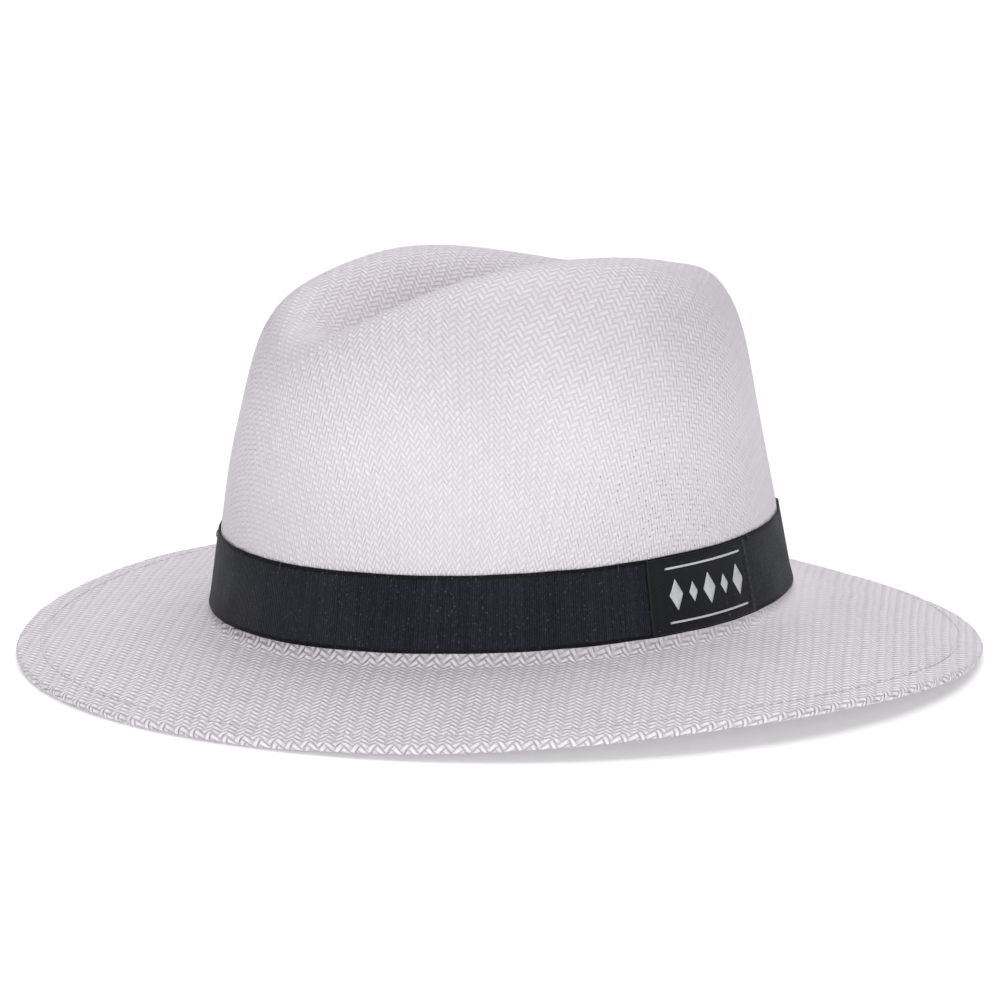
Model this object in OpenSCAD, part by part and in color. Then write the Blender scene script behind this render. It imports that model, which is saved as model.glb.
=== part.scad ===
// Woven summer hat: a straw hood with a pinched, creased crown and a turned brim,
// a ribbon with a plain patterned patch, and a sweatband with its small labels.
// The hat is drawn level on its head line, front towards -Y, and is then tipped a
// little forward, so that the front and the back of the brim both touch the table.

/* [Head oval] */
// Length of the crown at its foot, front to back
crown_len = 209.4; // [195:0.2:222]
// Width of the crown at its foot, side to side
crown_wid = 173.2; // [160:0.2:186]
// How much the front of the head oval is narrower than its back, as a share
egg_share = 0.037; // [0:0.001:0.06]

/* [Crown] */
// Height of the undented crown above the brim
crown_h = 129.1; // [122:0.1:140]
// Height where the straight wall turns into the shoulder
shoulder_h = 71; // [66:0.5:84]
// How far the front and the back lean in over the height of the crown
end_lean = 21; // [12:0.5:26]
// How far each side leans in over the height of the crown
side_lean = 25.2; // [18:0.2:34]
// How the egg shape turns round from the foot to the top, as a share
top_egg = -0.202; // [-0.25:0.002:0]
// How square the shoulder is: 1 is a round arc, less is squarer
shoulder_power = 0.687; // [0.6:0.001:1]
// Drop of the top from front to back, as a share of the height
top_fall = 0.099; // [0:0.001:0.15]
// Rise of the top towards both of its ends, as a share of the height
top_lift = 0.184; // [0:0.002:0.26]
// How much higher the wearer's left of the top stands, as a share of the height
left_lift = 0.04; // [0:0.001:0.06]
// How much more the left stands up at the back than at the front, as a share
left_twist = 0.104; // [0:0.001:0.15]
// How much the top narrows towards the front, as a share
front_pinch = 0.343; // [0.2:0.001:0.46]

/* [Crease and dents] */
// Depth of the crease along the middle of the top
crease_depth = 25.9; // [15:0.1:34]
// Half width of the crease at the middle of its length
crease_half = 30; // [20:0.1:34]
// Extra depth of the sharp fold in the front half of the crease
fold_depth = 14; // [6:0.5:16]
// Half width of that fold
fold_half = 14; // [10:0.5:18]
// Depth of the dent on each front corner
dent_depth = 7.1; // [2:0.1:10]
// Angle of the dents from the front, round the crown
dent_angle = 56.2; // [40:0.2:70]
// Height of the middle of the dents
dent_h = 80; // [65:1:90]

/* [Brim] */
// Width of the brim, level, from the foot of the crown to the edge
brim_wid = 64.4; // [50:0.2:75]
// Mean drop of the edge below the foot of the crown
brim_drop = 12.6; // [8:0.1:16]
// Extra drop of the back of the edge, and as much less at the front
back_droop = 5; // [0:0.1:8]
// How much lower front and back hang than the sides
end_dip = 3.3; // [1:0.1:5]
// Curve of the brim from the crown to the edge, 1 for a straight slope
brim_bow = 1.25; // [1:0.05:1.6]
// Radius of the turned roll at the edge
roll_r = 1.55; // [1.5:0.05:1.8]
// Width of the turned edge under the brim
hem_wid = 9.2; // [8:0.1:12]

/* [Woven straw] */
// Thickness of the woven straw
mat_t = 1.2; // [0.8:0.1:1.3]
// Radius of the bend between the crown and the brim
foot_r = 4; // [3:0.5:4]

/* [Brim wire] */
// Thickness of the wire in the turned edge
wire_d = 1.2; // [0.8:0.1:1.2]
// Length of the sleeve over the two ends of the wire
sleeve_len = 14; // [8:1:18]

/* [Ribbon and patch] */
// Height of the ribbon
ribbon_h = 24.8; // [18:0.2:32]
// Height of the lower edge of the ribbon above the brim
ribbon_z = 4; // [4:0.5:8]
// Thickness of the ribbon
ribbon_t = 0.6; // [0.4:0.1:1]
// Where the patch starts round the crown, in degrees from the front to the wearer's left
patch_from = 85.9; // [70:0.1:90]
// Where the patch ends
patch_to = 113.2; // [100:0.1:120]
// Height of the patch
patch_h = 23.8; // [16:0.2:24]
// Number of diamonds in the pattern on the patch
diamonds = 5; // [3:1:7]
// Number of thread tacks that hold the upper edge of the ribbon
tacks = 10; // [6:1:14]

/* [Sweatband] */
// Height of the sweatband
sweat_h = 30; // [24:1:36]
// Thickness of the sweatband
sweat_t = 1.4; // [1:0.1:2]

/* [Hidden] */

around = 84;                       // facets round the hat
step = 360 / around;               // degrees between them
half_len = crown_len / 2;
half_wid = crown_wid / 2;
gap = 0.2;                         // air between layers of cloth
mat_half_gap = 0.08;               // half the slit between brim and turned edge
hem_top = mat_half_gap + mat_t;    // upper face of the brim over the middle of the roll
channel_r = 0.95;                  // radius of the hollow that holds the wire
stitch_in = 7;                     // how far the hem seam lies inside the roll
thread_r = 0.22;                   // radius of a sewing thread
edge_ripple = 0.75;                // four-fold wave of the edge
end_drop = brim_drop + end_dip - edge_ripple;              // mean drop of front and back
seat_tip = asin(back_droop / (half_len + brim_wid - roll_r));
seat_lift = end_drop * cos(seat_tip) + roll_r;
seat_shift = -end_drop * sin(seat_tip);

// ---- surfaces -------------------------------------------------------------

function smooth(t) = let (c = max(0, min(1, t))) c * c * (3 - 2 * c);
function flat(p) = [p[0], p[1], 0];
function unit(v) = v / norm(v);
function oval(a, b, egg, phi) = [b * sin(phi) * (1 - egg * cos(phi)), -a * cos(phi), 0];

// Level unit vector that points away from the head, square to the head oval
function outward(phi) =
    let (d = oval(half_len, half_wid, egg_share, phi + 0.5)
            - oval(half_len, half_wid, egg_share, phi - 0.5))
    unit([d[1], -d[0], 0]);

// Height added to the top: it falls to the back, rises to both ends, and stands a little
// higher on the wearer's left. reach runs from -1 in front to 1 behind, side to 1 at the left.
function top_rise(f, reach, side) = crown_h * f * f
    * (top_lift * reach * reach - top_fall * reach + left_lift * side + left_twist * side * reach);

// Inward push of the dents, by the angle from the front and by height
function dent(phi, z) =
    let (angle = atan2(crown_wid * abs(sin(phi)), crown_len * cos(phi)),
        off_height = z > dent_h ? pow((z - dent_h) / 27.8, 2) : pow((dent_h - z) / 23, 3))
    dent_depth * exp(-pow((angle - dent_angle) / 18.8, 2) - off_height);

// Depth of the crease: deep in front, gone before the back, with a sharper fold in front
function crease(x, reach, f) =
    let (half = crease_half - 3.5 * reach,
        wide = (crease_depth - 5.4 * reach) * exp(-pow(abs(x) / half, 1.69))
            * (1 - smooth((reach - 0.413) / 0.598)),
        sharp = fold_depth * exp(-pow(x / fold_half, 2))
            * (1 - smooth((reach + 0.2) / 0.7)) * smooth((reach + 0.86) / 0.28))
    (wide + sharp) * smooth((f - 0.5) / 0.5);

// Point of the crown's outer face: s runs from 1 on the wall to 0 at the top's middle
function crown_point(phi, s, z) =
    let (f = z / crown_h,
        dome = oval(half_len - end_lean * f, half_wid - side_lean * f, egg_share + top_egg * f, phi) * s,
        reach = dome[1] / half_len,
        push = dent(phi, z) / max(norm(dome), 1),
        narrow = front_pinch * smooth((0.211 - reach) / 0.821) * smooth((f - 0.3) / 0.7),
        x = dome[0] * (1 - push) * (1 - narrow),
        y = dome[1] * (1 - push))
    [x, y, z + top_rise(f, reach, dome[0] / half_wid) - crease(x, reach, f)];

// The shoulder, from 0 at the wall to 90 degrees at the middle of the top
function shoulder_point(phi, a) =
    crown_point(phi, pow(cos(a), shoulder_power),
        shoulder_h + (crown_h - shoulder_h) * pow(sin(a), shoulder_power));

// The bend at the foot of the crown, from 0 at the wall to 90 degrees at the brim
function foot_point(phi, a) =
    flat(crown_point(phi, 1, foot_r)) + outward(phi) * foot_r * (1 - cos(a))
        + [0, 0, foot_r * (1 - sin(a))];

// Middle of the roll at the edge of the brim
function edge_z(phi) = -brim_drop + back_droop * cos(phi) - end_dip * cos(2 * phi)
    + edge_ripple * cos(4 * phi);
function roll_middle(phi) =
    oval(half_len + brim_wid - roll_r, half_wid + brim_wid - roll_r, egg_share * 0.6, phi)
        + [0, 0, edge_z(phi)];

// Upper face of the brim, u from 0 at the foot to 1 over the middle of the roll
function brim_point(phi, u) =
    let (start = foot_point(phi, 90), end = roll_middle(phi))
    flat(start) * (1 - u) + flat(end) * u + [0, 0, (end[2] + hem_top) * pow(u, brim_bow)];

// Point near the edge: o outwards along the slope of the brim, h square to it
function hem_point(phi, o, h) =
    let (end = roll_middle(phi),
        run = flat(end - foot_point(phi, 90)),
        out = unit(run),
        slope = unit(out * norm(run) + [0, 0, brim_bow * (end[2] + hem_top)]),
        up = unit([0, 0, 1] - slope * slope[2]))
    end + slope * o + up * h;

// Point at a height on the crown's wall, off millimetres out from its outer face. The rise
// of the top has begun here, so the wall's own level lies a little under the height.
function wall_point(phi, z, off) =
    let (first = z - top_rise(z / crown_h, -cos(phi), sin(phi)),
        level = z - top_rise(first / crown_h, -cos(phi), sin(phi)),
        p = crown_point(phi, 1, level))
    [p[0], p[1], z] + outward(phi) * off;

// ---- closed skins ---------------------------------------------------------

// Triangles between ring k and ring k + 1 of n points each
function band(k, n, next) = [for (i = [0:n - 1])
    let (j = (i + 1) % n)
    each [[k * n + i, k * n + j, next * n + j], [k * n + i, next * n + j, next * n + i]]];

// A closed loop of the same outline set at every facet round the hat
module ring(rows) {
    n = len(rows[0]);
    m = len(rows);
    polyhedron([for (row = rows) each row],
        [for (k = [0:m - 1]) each band(k, n, (k + 1) % m)]);
}

// The same, open at both ends, which are closed by flat faces
module run(rows) {
    n = len(rows[0]);
    m = len(rows);
    polyhedron([for (row = rows) each row],
        concat([for (k = [0:m - 2]) each band(k, n, k + 1)],
            [[for (i = [n - 1:-1:0]) i]], [[for (i = [0:n - 1]) (m - 1) * n + i]]));
}

// A strip of cloth on the wall between two angles, two heights and two distances
function cloth_row(phi, z0, z1, in, out) = [wall_point(phi, z0, in), wall_point(phi, z0, out),
    wall_point(phi, z1, out), wall_point(phi, z1, in)];
module cloth(phi0, phi1, z0, z1, in, out) {
    parts = max(2, ceil((phi1 - phi0) / 3));
    run([for (i = [0:parts]) cloth_row(phi0 + (phi1 - phi0) * i / parts, z0, z1, in, out)]);
}
module cloth_ring(z0, z1, in, out) {
    ring([for (i = [0:around - 1]) cloth_row(i * step, z0, z1, in, out)]);
}

// A thread or wire near the edge of the brim, as a ring of a given radius
function hem_circle(phi, o, h, r, sides) =
    [for (k = [0:sides - 1]) hem_point(phi, o + r * cos(k * 360 / sides), h + r * sin(k * 360 / sides))];

// Places its children on the wall: X out from the head, Z up along the lean of the wall
module on_wall(phi, z, off) {
    out = outward(phi);
    lean = (wall_point(phi, z - 1, 0) - wall_point(phi, z + 1, 0)) * out / 2;
    translate(wall_point(phi, z, off))
        rotate([0, -atan(lean), atan2(out[1], out[0])])
            children();
}

// A straight bar of thread that lies on the wall and stands along it
module bar(phi, z, off, length) {
    on_wall(phi, z, off)
        cylinder(h = length, r = thread_r, center = true, $fn = 16);
}

// Every piece is drawn level and seated here
module seated() {
    translate([0, seat_shift, seat_lift])
        rotate([seat_tip, 0, 0])
            children();
}

// ---- straw body -----------------------------------------------------------

shoulder_steps = 10;
wall_rows = [shoulder_h, 66, 50, 34, 18, foot_r];
brim_rows = [0.1, 0.25, 0.42, 0.6, 0.74];

function skin_ring(make) = [for (i = [0:around - 1]) make(i * step)];
crown_skin = concat(
    [for (k = [1:shoulder_steps - 1])
        skin_ring(function (phi) shoulder_point(phi, 90 - k * 90 / shoulder_steps))],
    [for (z = wall_rows) skin_ring(function (phi) crown_point(phi, 1, z))],
    [for (a = [30, 60, 90]) skin_ring(function (phi) foot_point(phi, a))],
    [for (u = brim_rows) skin_ring(function (phi) brim_point(phi, u))]);
apex = crown_point(0, 0, crown_h);

// Outline of the turned edge, from the upper face round the roll and back underneath
roll_turn = [for (a = [110:-30:-100]) [roll_r * cos(a), roll_r * sin(a)]];
channel_turn = [for (a = [200:40:520]) [channel_r * cos(a), channel_r * sin(a)]];
hem_outline = concat([[-9.5, hem_top], [-2.2, hem_top]], roll_turn,
    [[-2.2, -hem_top], [0.6 - hem_wid, -hem_top], [-hem_wid, -hem_top / 2],
        [0.6 - hem_wid, -mat_half_gap], [-2.2, -mat_half_gap]],
    channel_turn, [[-2.2, mat_half_gap], [-9.5, mat_half_gap]]);
hem_skin = [for (p = hem_outline) skin_ring(function (phi) hem_point(phi, p[0], p[1]))];

// Inner face of the crown and underside of the brim: the outer face moved in by the mat
function facing(rings, k, i) =
    let (above = k == 0 ? apex : rings[k - 1][i],
        below = k == len(rings) - 1 ? hem_skin[0][i] : rings[k + 1][i],
        left = rings[k][(i + 1) % around],
        right = rings[k][(i + around - 1) % around])
    unit(cross(below - above, left - right));
inner_skin = [for (k = [len(crown_skin) - 1:-1:0])
    [for (i = [0:around - 1]) crown_skin[k][i] - facing(crown_skin, k, i) * mat_t]];

module woven_body() {
    rings = concat(crown_skin, hem_skin, inner_skin);
    last = len(rings) - 1;
    top = len(rings) * around;
    color("#e4dfe2")
        seated()
            polyhedron(concat([for (r = rings) each r], [apex, apex - [0, 0, mat_t]]),
                concat([for (k = [0:last - 1]) each band(k, around, k + 1)],
                    [for (i = [0:around - 1]) [top, (i + 1) % around, i]],
                    [for (i = [0:around - 1])
                        [top + 1, last * around + i, last * around + (i + 1) % around]]));
}

// ---- brim wire and hem ----------------------------------------------------

// Points of the wire run along the chords of the hem's channel, so both fit together
function on_chord(phi, r) =
    let (k = floor(phi / step), t = phi / step - k,
        a = hem_circle(k * step, 0, 0, r, 8), b = hem_circle((k + 1) * step, 0, 0, r, 8))
    [for (j = [0:7]) a[j] * (1 - t) + b[j] * t];

wire_gap = 0.3;                                          // half the gap at the back, in degrees
sleeve_half = sleeve_len / 2 / (half_len + brim_wid) * 57.3 * 1.12;

module brim_wire() {
    color("#8f9296")
        seated()
            run(concat([on_chord(180 + wire_gap, wire_d / 2)],
                [for (k = [1:around - 1]) on_chord(180 + k * step, wire_d / 2)],
                [on_chord(540 - wire_gap, wire_d / 2)]));
}

module wire_sleeve() {
    outer = wire_d / 2 + 0.25;
    inner = wire_d / 2 + 0.05;
    angles = [180 - sleeve_half, 180, 180 + sleeve_half];
    color("#c8a24a")
        seated()
            difference() {
                run([for (phi = angles) on_chord(phi, outer)]);
                run([for (phi = [179 - sleeve_half, 180, 181 + sleeve_half]) on_chord(phi, inner)]);
            }
}

module hem_stitching() {
    lift = hem_top + thread_r + 0.05;
    color("#f2f0f0")
        seated()
            for (h = [lift, -lift])
                ring([for (i = [0:around - 1]) hem_circle(i * step, -stitch_in, h, thread_r, 4)]);
}

// ---- ribbon ---------------------------------------------------------------

ribbon_out = gap + ribbon_t;

module ribbon_band() {
    color("#29282e")
        seated()
            cloth_ring(ribbon_z, ribbon_z + ribbon_h, gap, ribbon_out);
}

module ribbon_tacks() {
    color("#1d1c20")
        seated()
            for (i = [0:tacks - 1])
                bar((i + 0.2) * 360 / tacks, ribbon_z + ribbon_h - 1.2, ribbon_out + thread_r + 0.05, 2.2);
}

// ---- patch on the wearer's left -------------------------------------------

patch_in = ribbon_out + 0.1;
patch_out = patch_in + 0.5;
patch_z = ribbon_z + (ribbon_h - patch_h) / 2;
patch_mid = (patch_from + patch_to) / 2;

module side_patch() {
    color("#1b1b22")
        seated()
            union() {
                cloth(patch_from, patch_to, patch_z, patch_z + patch_h, patch_in, patch_out);
                cloth(patch_from - 0.6, patch_from + 1.6, patch_z, patch_z + patch_h, patch_in,
                    patch_out + 0.3);
            }
}

// A plain border and a row of diamonds, raised like embroidery
module patch_pattern() {
    in = patch_out + 0.05;
    out = in + 0.2;
    line = 0.7;
    inset_phi = 3.6;
    low = patch_z + 3;
    high = patch_z + patch_h - 3;
    pitch = (patch_to - patch_from - 2 * inset_phi - 2) / diamonds;
    color("#8d8c96")
        seated() {
            for (z = [low, high - line])
                cloth(patch_from + inset_phi, patch_to - inset_phi + 1.2, z, z + line, in, out);
            for (i = [0:diamonds - 1])
                diamond(patch_from + inset_phi + 1.6 + (i + 0.5) * pitch, (low + high) / 2, in + 0.05,
                    i % 2 == 0 ? 5 : 3.2);
        }
}

module diamond(phi, z, off, tall) {
    on_wall(phi, z, off)
        rotate([90, 0, 90])
            linear_extrude(0.2)
                polygon([[0, -tall], [tall * 0.52, 0], [0, tall], [-tall * 0.52, 0]]);
}

module patch_stitching() {
    count = 8;
    pitch = (patch_h - 2) / count;
    color("#3b3a42")
        seated()
            for (i = [0:count - 1])
                bar(patch_to - 0.9, patch_z + 1 + (i + 0.5) * pitch, patch_out + thread_r + 0.05, pitch * 0.62);
}

// ---- sweatband and labels inside ------------------------------------------

sweat_z = 2.5;
sweat_out = -mat_t - gap;
sweat_in = sweat_out - sweat_t;
tag_t = 0.4;

module sweatband() {
    color("#d9d2c8")
        seated()
            cloth_ring(sweat_z, sweat_z + sweat_h, sweat_in, sweat_out);
}

// Cord sewn along the lower edge of the sweatband
module sweatband_piping() {
    r = 0.9;
    color("#c9c1b5")
        seated()
            ring([for (i = [0:around - 1])
                [for (k = [0:7])
                    wall_point(i * step, sweat_z - r - 0.1 + r * sin(45 * k),
                        (sweat_in + sweat_out) / 2 + r * cos(45 * k))]]);
}

module sweatband_stitching() {
    color("#f4efe6")
        seated()
            for (z = [sweat_z + 2, sweat_z + sweat_h - 2])
                ring([for (i = [0:around - 1])
                    [for (k = [0:3])
                        wall_point(i * step, z + thread_r * sin(90 * k),
                            sweat_in - thread_r - 0.08 + thread_r * cos(90 * k))]]);
}

// Tape over the join of the sweatband at the back
module sweatband_join() {
    color("#cfc6b8")
        seated()
            cloth(177.2, 182.8, sweat_z + 3, sweat_z + sweat_h - 3, sweat_in - 0.1 - tag_t, sweat_in - 0.1);
}

module size_tag() {
    color("#f3f2f0")
        seated()
            cloth(166, 173, sweat_z + 3, sweat_z + 15, sweat_in - 0.1 - tag_t, sweat_in - 0.1);
}

// The longer label hangs over the upper row of stitches
module care_tag() {
    over = sweat_in - 3 * thread_r;
    color("#f3f2f0")
        seated()
            cloth(190, 202, sweat_z + 3, sweat_z + 38, over - tag_t, over);
}

woven_body();
brim_wire();
wire_sleeve();
hem_stitching();
ribbon_band();
ribbon_tacks();
side_patch();
patch_pattern();
patch_stitching();
sweatband();
sweatband_piping();
sweatband_stitching();
sweatband_join();
size_tag();
care_tag();
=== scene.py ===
# %% [markdown]
# # A panama hat, built around its CAD frame
#
# The hat is a woven straw hood with a creased crown and a turned brim, a black ribbon
# with a small woven patch, and a sweatband inside. The CAD model says where each piece
# is and how big it may be. This notebook gives each piece its real surface.
#
# We could move the CAD meshes about until they look right, but then the hat would no
# longer fit the tested model. So the frame is loaded first and stays as it is, and each
# new piece is drawn from the same few driving dimensions.

# %% Load the frame
import math

import bpy
from mathutils import Matrix, Vector, noise


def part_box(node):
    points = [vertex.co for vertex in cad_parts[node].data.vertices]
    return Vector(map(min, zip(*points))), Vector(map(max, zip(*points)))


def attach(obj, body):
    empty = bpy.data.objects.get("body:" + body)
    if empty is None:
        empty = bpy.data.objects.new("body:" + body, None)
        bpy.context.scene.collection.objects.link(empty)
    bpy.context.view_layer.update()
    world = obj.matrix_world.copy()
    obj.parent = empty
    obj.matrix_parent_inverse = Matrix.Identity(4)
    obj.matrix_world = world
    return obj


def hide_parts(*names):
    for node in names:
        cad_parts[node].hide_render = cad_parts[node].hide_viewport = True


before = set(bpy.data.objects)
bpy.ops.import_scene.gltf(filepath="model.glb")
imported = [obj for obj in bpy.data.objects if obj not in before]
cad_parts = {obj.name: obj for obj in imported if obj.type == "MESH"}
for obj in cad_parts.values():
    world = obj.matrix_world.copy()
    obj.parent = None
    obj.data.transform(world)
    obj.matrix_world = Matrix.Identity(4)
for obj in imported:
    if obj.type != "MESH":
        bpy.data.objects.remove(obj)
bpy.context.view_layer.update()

# %% [markdown]
# ## The camera
#
# A long lens from a metre and a half away keeps the ovals of brim and ribbon flat, the
# way a catalogue picture does. A short lens close by would widen the near brim. The
# camera looks at a point on the crown's axis, from the front and the wearer's left, and
# leans a little, because the hat rests tipped forward on its brim while the picture is
# level with the hat.

# %% Camera
VIEW_AZIMUTH = math.radians(50.3)
VIEW_ELEVATION = math.radians(11.315)
VIEW_LEAN = math.radians(1.483)
VIEW_DISTANCE = 1.5195
LENS_MM = 163.17
AIM_HEIGHT = 0.04996
AIM_ASIDE = -0.002

across = Vector((math.cos(VIEW_AZIMUTH), math.sin(VIEW_AZIMUTH), 0))
back = Vector((
    math.sin(VIEW_AZIMUTH) * math.cos(VIEW_ELEVATION),
    -math.cos(VIEW_AZIMUTH) * math.cos(VIEW_ELEVATION),
    math.sin(VIEW_ELEVATION),
))
camera = bpy.data.objects.new("camera", bpy.data.cameras.new("camera"))
camera.data.lens = LENS_MM
camera.data.clip_end = 20
turn = Matrix((across, back.cross(across), back)).transposed()
place = across * AIM_ASIDE + Vector((0, 0, AIM_HEIGHT)) + back * VIEW_DISTANCE
camera.matrix_world = (
    Matrix.Translation(place) @ turn.to_4x4() @ Matrix.Rotation(VIEW_LEAN, 4, "Z")
)
bpy.context.scene.collection.objects.link(camera)
bpy.context.scene.camera = camera
print("camera at", [round(v, 3) for v in place])

# %% [markdown]
# ## The hat's surface as a formula
#
# A real hood is steamed over a wooden block, then creased by hand. We could sculpt that,
# but a formula is easier to change and gives the same hat each time. Everything is in
# millimetres while we work. A place on the hat has an angle `phi` round the head, from
# the front towards the wearer's left, and a place along the line from the top to the edge.
#
# The numbers are the block: the head oval, how far the walls lean in, where the shoulder
# begins, the crease, the two front dents and the droop of the brim.

# %% Driving dimensions, in millimetres
MM = 0.001
HALF_LEN, HALF_WID, EGG = 104.7, 86.6, 0.037
CROWN_H, SHOULDER_H, SHOULDER_POWER = 129.1, 71, 0.687
END_LEAN, SIDE_LEAN, TOP_EGG = 21, 25.2, -0.202
TOP_FALL, TOP_LIFT, FRONT_PINCH = 0.099, 0.184, 0.343
LEFT_LIFT, LEFT_TWIST = 0.04, 0.104
CREASE_DEPTH, CREASE_HALF = 25.9, 30
FOLD_DEPTH, FOLD_HALF = 14, 14
DENT_DEPTH, DENT_ANGLE, DENT_H = 7.1, math.radians(56.2), 80
BRIM_WID, BRIM_DROP, BACK_DROOP = 64.4, 12.6, 5
END_DIP, EDGE_RIPPLE, BRIM_BOW = 3.3, 0.75, 1.25
ROLL_R, CHANNEL_R, HEM_WID = 1.55, 0.95, 9.2
MAT_T, FOOT_R, SLIT = 1.2, 4, 0.08
HEM_TOP = SLIT + MAT_T

end_drop = BRIM_DROP + END_DIP - EDGE_RIPPLE
seat_tip = math.asin(BACK_DROOP / (HALF_LEN + BRIM_WID - ROLL_R))
seat = (
    Matrix.Scale(MM, 4)
    @ Matrix.Translation((0, -end_drop * math.sin(seat_tip), end_drop * math.cos(seat_tip) + ROLL_R))
    @ Matrix.Rotation(seat_tip, 4, "X")
)
print("the hat is tipped forward by", round(math.degrees(seat_tip), 2), "degrees")

# %% [markdown]
# ### The crown
#
# `crown_point` starts from a plain dome whose oval shrinks with height, then pushes in the
# front dents, narrows the top towards the front and presses the crease down. Each push
# fades out smoothly, so the straw stays one unbroken skin.

# %% Crown formula
def smooth(t):
    t = min(1, max(0, t))
    return t * t * (3 - 2 * t)


def oval(a, b, egg, phi):
    return Vector((b * math.sin(phi) * (1 - egg * math.cos(phi)), -a * math.cos(phi), 0))


def outward(phi):
    d = oval(HALF_LEN, HALF_WID, EGG, phi + 0.01) - oval(HALF_LEN, HALF_WID, EGG, phi - 0.01)
    return Vector((d.y, -d.x, 0)).normalized()


def top_rise(f, reach, side):
    lengthwise = TOP_LIFT * reach * reach - TOP_FALL * reach
    sideways = LEFT_LIFT * side + LEFT_TWIST * side * reach
    return CROWN_H * f * f * (lengthwise + sideways)


def dent(phi, z):
    angle = math.atan2(HALF_WID * abs(math.sin(phi)), HALF_LEN * math.cos(phi))
    off_angle = (angle - DENT_ANGLE) / math.radians(18.8)
    off_height = ((z - DENT_H) / 27.8) ** 2 if z > DENT_H else ((DENT_H - z) / 23) ** 3
    return DENT_DEPTH * math.exp(-(off_angle**2) - off_height)


def crease(x, reach, f):
    half = CREASE_HALF - 3.5 * reach
    depth = (CREASE_DEPTH - 5.4 * reach) * math.exp(-((abs(x) / half) ** 1.69))
    ends = (1 - smooth((reach + 0.2) / 0.7)) * smooth((reach + 0.86) / 0.28)
    fold = FOLD_DEPTH * math.exp(-((x / FOLD_HALF) ** 2)) * ends
    return (depth * (1 - smooth((reach - 0.413) / 0.598)) + fold) * smooth((f - 0.5) / 0.5)


def crown_point(phi, s, z):
    f = z / CROWN_H
    dome = s * oval(HALF_LEN - END_LEAN * f, HALF_WID - SIDE_LEAN * f, EGG + TOP_EGG * f, phi)
    reach = dome.y / HALF_LEN
    push = dent(phi, z) / max(dome.length, 1)
    narrow = FRONT_PINCH * smooth((0.211 - reach) / 0.821) * smooth((f - 0.3) / 0.7)
    x = dome.x * (1 - push) * (1 - narrow)
    height = z + top_rise(f, reach, dome.x / HALF_WID) - crease(x, reach, f)
    return Vector((x, dome.y * (1 - push), height))


def shoulder_point(phi, a):
    rise = (CROWN_H - SHOULDER_H) * math.sin(a) ** SHOULDER_POWER
    return crown_point(phi, math.cos(a) ** SHOULDER_POWER, SHOULDER_H + rise)


apex = crown_point(0, 0, CROWN_H)
print("the middle of the crease is", round(apex.z, 1), "mm above the foot of the crown")

# %% [markdown]
# ### The brim and its turned edge
#
# The wall bends out at its foot and runs down to the edge, lower in front and behind than
# at the sides. Near the edge we need a small frame of its own: `o` runs out along the
# slope and `h` stands square to it, so the roll, the wire and the seam can be drawn flat.

# %% Brim formula
def foot_point(phi, a):
    start = crown_point(phi, 1, FOOT_R)
    start.z = 0
    level = outward(phi) * FOOT_R * (1 - math.cos(a))
    return start + level + Vector((0, 0, FOOT_R * (1 - math.sin(a))))


def roll_middle(phi):
    reach = BRIM_WID - ROLL_R
    middle = oval(HALF_LEN + reach, HALF_WID + reach, EGG * 0.6, phi)
    middle.z = -BRIM_DROP + BACK_DROOP * math.cos(phi)
    middle.z += -END_DIP * math.cos(2 * phi) + EDGE_RIPPLE * math.cos(4 * phi)
    return middle


def brim_point(phi, u):
    start, end = foot_point(phi, math.pi / 2), roll_middle(phi)
    level = start * (1 - u) + end * u
    level.z = (end.z + HEM_TOP) * u**BRIM_BOW
    return level


def edge_frame(phi):
    """Middle of the roll, the way out along the slope, and the way up square to it."""
    end = roll_middle(phi)
    run = end - foot_point(phi, math.pi / 2)
    run.z = 0
    slope = (run + Vector((0, 0, BRIM_BOW * (end.z + HEM_TOP)))).normalized()
    return end, slope, (Vector((0, 0, 1)) - slope * slope.z).normalized()


def hem_point(phi, o, h):
    end, slope, up = edge_frame(phi)
    return end + slope * o + up * h


def wall_point(phi, z, off):
    level = z
    for _ in range(3):
        level = z - top_rise(level / CROWN_H, -math.cos(phi), math.sin(phi))
    p = crown_point(phi, 1, level)
    p.z = z
    return p + outward(phi) * off


low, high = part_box("woven_body")
print("edge in front", round((seat @ hem_point(0, ROLL_R, 0)).y, 4), "CAD", round(low.y, 4))

# %% [markdown]
# ## From rows of points to a mesh
#
# Most pieces here are skins swept round the head: a row of points, then the next row,
# joined by four-sided faces. Modifiers could thicken and bend flat strips for us, but
# then the strips would need fitting to the crown. Writing the points ourselves puts
# every piece in its place at once.
#
# Each corner also gets a pair of numbers, a UV, that says where it lies in the cloth.
# The materials use it to draw threads that follow the piece.

# %% Mesh helpers
WOBBLE = 0.28
WOBBLE_SPAN = 38


def settle(p):
    """A point of the block, in millimetres, moved to where it is on the finished hat."""
    soft = noise.noise_vector(p / WOBBLE_SPAN) * WOBBLE
    return seat @ (p + soft)


def make_piece(name, points, faces, uvs, material, slot, replaced=()):
    """A smooth mesh from settled points, with one UV for each corner of each face."""
    mesh = bpy.data.meshes.new(name)
    mesh.from_pydata(points, [], faces)
    layer = mesh.uv_layers.new(name="strands")
    flat = [number for face in uvs for pair in face for number in pair]
    layer.data.foreach_set("uv", flat)
    mesh.polygons.foreach_set("use_smooth", [True] * len(faces))
    mesh.materials.append(material)
    mesh.validate()
    piece = bpy.data.objects.new(name, mesh)
    bpy.context.scene.collection.objects.link(piece)
    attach(piece, "root")
    if replaced:
        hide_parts(*replaced)
    print(name, len(points), "points,", len(faces), "faces")
    return piece


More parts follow.
